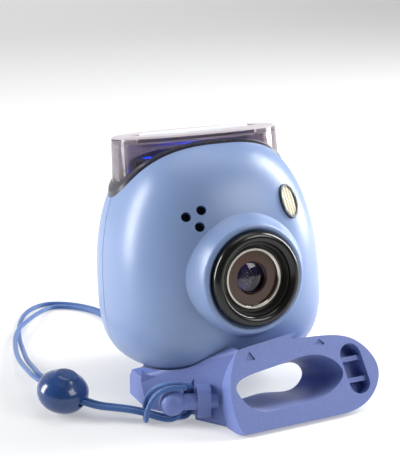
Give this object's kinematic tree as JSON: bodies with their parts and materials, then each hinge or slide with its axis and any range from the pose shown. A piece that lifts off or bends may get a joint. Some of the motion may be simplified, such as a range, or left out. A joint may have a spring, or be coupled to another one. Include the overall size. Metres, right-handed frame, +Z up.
{
  "type": "pocket camera with strap",
  "caption": "Egg-shaped pocket camera with a translucent crown, on a finger-ring stand, with a doubled strap cord and a cord stopper.",
  "frame": {"origin": "in the flat base of the stand's arm, on the surface that the object stands on", "axes": "+Z up, -Y towards the lens side, +X to the right seen from the lens side's viewer"},
  "size_m": [0.0599, 0.081, 0.0494],
  "materials": {
    "cover_satin": "satin lavender-blue moulded plastic",
    "crown_smoke": "smoky translucent moulded plastic",
    "seal_dark": "dark moulded lip",
    "bar_milk": "milky light-guiding plastic",
    "bezel_dark": "dark glossy moulded plastic",
    "ring_silver": "spun and anodised silver",
    "plate_brown": "bronze-brown lacquer",
    "lens_glass": "purple coated lens glass",
    "black_plastic": "black moulded plastic",
    "board_green": "solder mask on glass-fibre laminate",
    "ribbon_amber": "polyimide film",
    "silicon": "packaged silicon",
    "flash_cream": "clear ribbed window over a cream reflector",
    "steel": "zinc-plated steel",
    "brass": "turned brass",
    "white_plastic": "white moulded plastic",
    "battery_foil": "foil pouch",
    "capacitor_sleeve": "shrink sleeve",
    "stand_matte": "grained soft-touch blue plastic",
    "washer_nylon": "nylon",
    "stopper_navy": "glossy navy plastic",
    "cord_blue": "braided polyester",
    "button_satin": "satin light lavender plastic"
  },
  "bodies": {
    "stand": {"ring_stand": "stand_matte", "strap_post": "stopper_navy", "screw_washer": "washer_nylon", "strap_cord": "cord_blue", "cord_sleeve": "cord_blue", "stopper_shell": "stopper_navy", "stopper_spring": "steel"},
    "camera": {"front_cover": "cover_satin", "rear_cover": "cover_satin", "port_shelf": "black_plastic", "crown": "crown_smoke", "crown_seal": "seal_dark", "light_guide": "bar_milk", "led_board": "board_green", "status_leds": "white_plastic", "power_switch": "black_plastic", "lens_bezel": "bezel_dark", "lens_cone": "bezel_dark", "lens_ring": "ring_silver", "lens_plate": "plate_brown", "lens_holder": "black_plastic", "front_lens": "lens_glass", "rear_lens": "lens_glass", "ir_filter": "lens_glass", "image_sensor": "silicon", "sensor_board": "board_green", "sensor_ribbon": "ribbon_amber", "lens_screws": "steel", "flash_bezel": "bezel_dark", "flash_window": "flash_cream", "flash_reflector": "white_plastic", "flash_tube": "lens_glass", "flash_capacitor": "capacitor_sleeve", "speaker_mesh": "steel", "speaker": "black_plastic", "chassis": "black_plastic", "main_board": "board_green", "battery": "battery_foil", "switch_board": "board_green", "shutter_switch": "black_plastic", "shutter_spring": "steel", "mode_switch": "black_plastic", "usb_socket": "steel", "card_socket": "steel", "cover_screws": "steel", "tripod_bush": "brass"},
    "screw": {"tripod_screw": "steel"},
    "shutter": {"shutter_button": "button_satin"},
    "bar": {"power_bar": "bar_milk"},
    "slider": {"mode_slider": "button_satin"},
    "flap": {"port_cover": "cover_satin"},
    "plunger": {"stopper_plunger": "stopper_navy"}
  },
  "joints": [
    {"name": "screw_turn", "type": "hinge", "parent": "stand", "child": "screw", "pos_m": [0.009, 0.01548, 0.00398], "axis": [0, 0.1478, 0.989], "range_deg": [-1440, 0]},
    {"name": "camera_lift", "type": "slide", "parent": "stand", "child": "camera", "axis": [0, 0.1478, 0.989], "range_m": [0, 0.00508]},
    {"name": "shutter_press", "type": "slide", "parent": "camera", "child": "shutter", "axis": [0, -0.989, 0.1478], "range_m": [0, 0.0006], "stiffness_N_per_m": 1500, "springref_m": -0.0005, "deforming": ["shutter_spring"]},
    {"name": "bar_press", "type": "slide", "parent": "camera", "child": "bar", "axis": [0, -0.1478, -0.989], "range_m": [0, 0.0004], "stiffness_N_per_m": 1500, "springref_m": -0.0005},
    {"name": "mode_slide", "type": "slide", "parent": "camera", "child": "slider", "axis": [0, 0.1478, 0.989], "range_m": [0, 0.003]},
    {"name": "port_flap", "type": "hinge", "parent": "camera", "child": "flap", "pos_m": [0.009, 0.03178, 0.01297], "axis": [1, 0, 0], "range_deg": [0, 90]},
    {"name": "stopper_press", "type": "slide", "parent": "stand", "child": "plunger", "axis": [0.1669, -0.2255, 0.9598], "range_m": [0, 0.001], "stiffness_N_per_m": 1500, "springref_m": -0.0005, "deforming": ["stopper_spring"]}
  ],
  "couplings": [
    {"joint": "screw_turn", "follows": "camera_lift", "rad_per_m": -4947.4}
  ]
}
